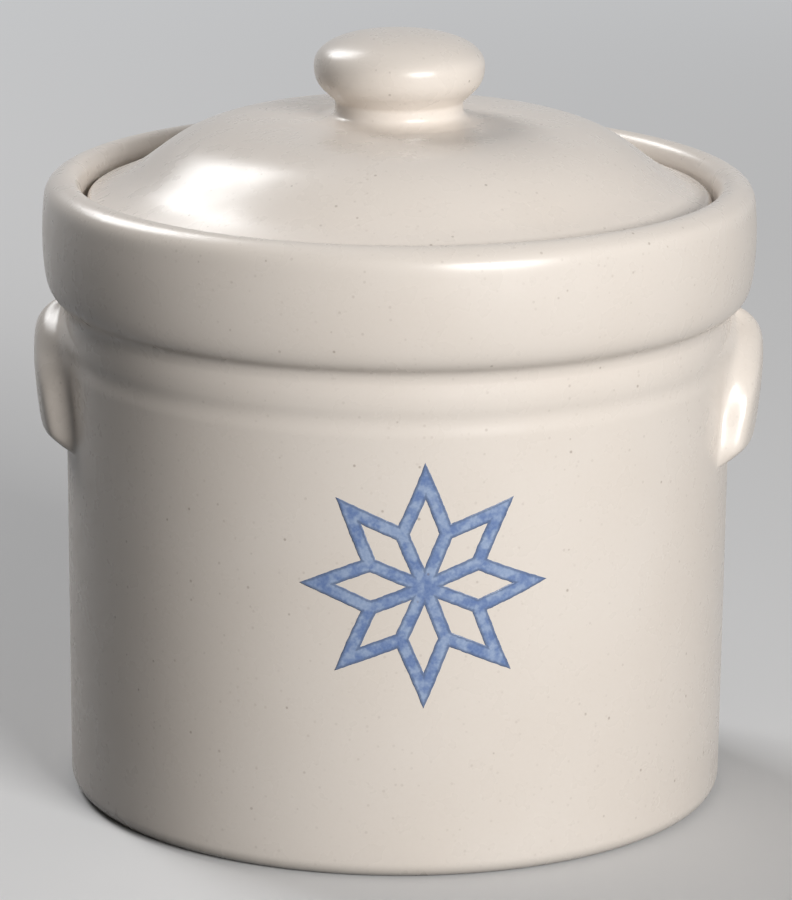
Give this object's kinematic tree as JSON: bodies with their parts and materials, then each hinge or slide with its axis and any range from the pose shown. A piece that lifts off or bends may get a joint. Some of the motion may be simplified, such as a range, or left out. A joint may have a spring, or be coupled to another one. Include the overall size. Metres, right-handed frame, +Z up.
{
  "type": "kitchen canister",
  "caption": "Round stoneware kitchen canister with a rolled rim band, side lugs and a domed lid with a flattened ball knob that lifts off and turns.",
  "frame": {"origin": "centre of the foot ring's underside, on the canister's turning axis, where it meets the table", "axes": "+Z up along the turning axis, +X through the right lug as seen from the front, -Y towards the front"},
  "size_m": [0.1544, 0.1502, 0.163],
  "materials": {
    "crock_glaze": "satin speckled cream glaze",
    "left_lug_glaze": "satin speckled cream glaze",
    "right_lug_glaze": "satin speckled cream glaze",
    "lid_glaze": "satin speckled cream glaze",
    "knob_glaze": "satin speckled cream glaze",
    "seal_rubber": "matte translucent white"
  },
  "bodies": {
    "crock": {"crock": "crock_glaze", "left_lug": "left_lug_glaze", "right_lug": "right_lug_glaze"},
    "seal": {"lid_seal": "seal_rubber"},
    "lid": {"lid": "lid_glaze", "lid_knob": "knob_glaze"}
  },
  "joints": [
    {"name": "lid_lift", "type": "slide", "parent": "crock", "child": "seal", "axis": [0, 0, 1], "range_m": [0, 0.12]},
    {"name": "lid_turn", "type": "hinge", "parent": "seal", "child": "lid", "pos_m": [0, 0, 0.124], "axis": [0, 0, 1], "continuous": true}
  ]
}
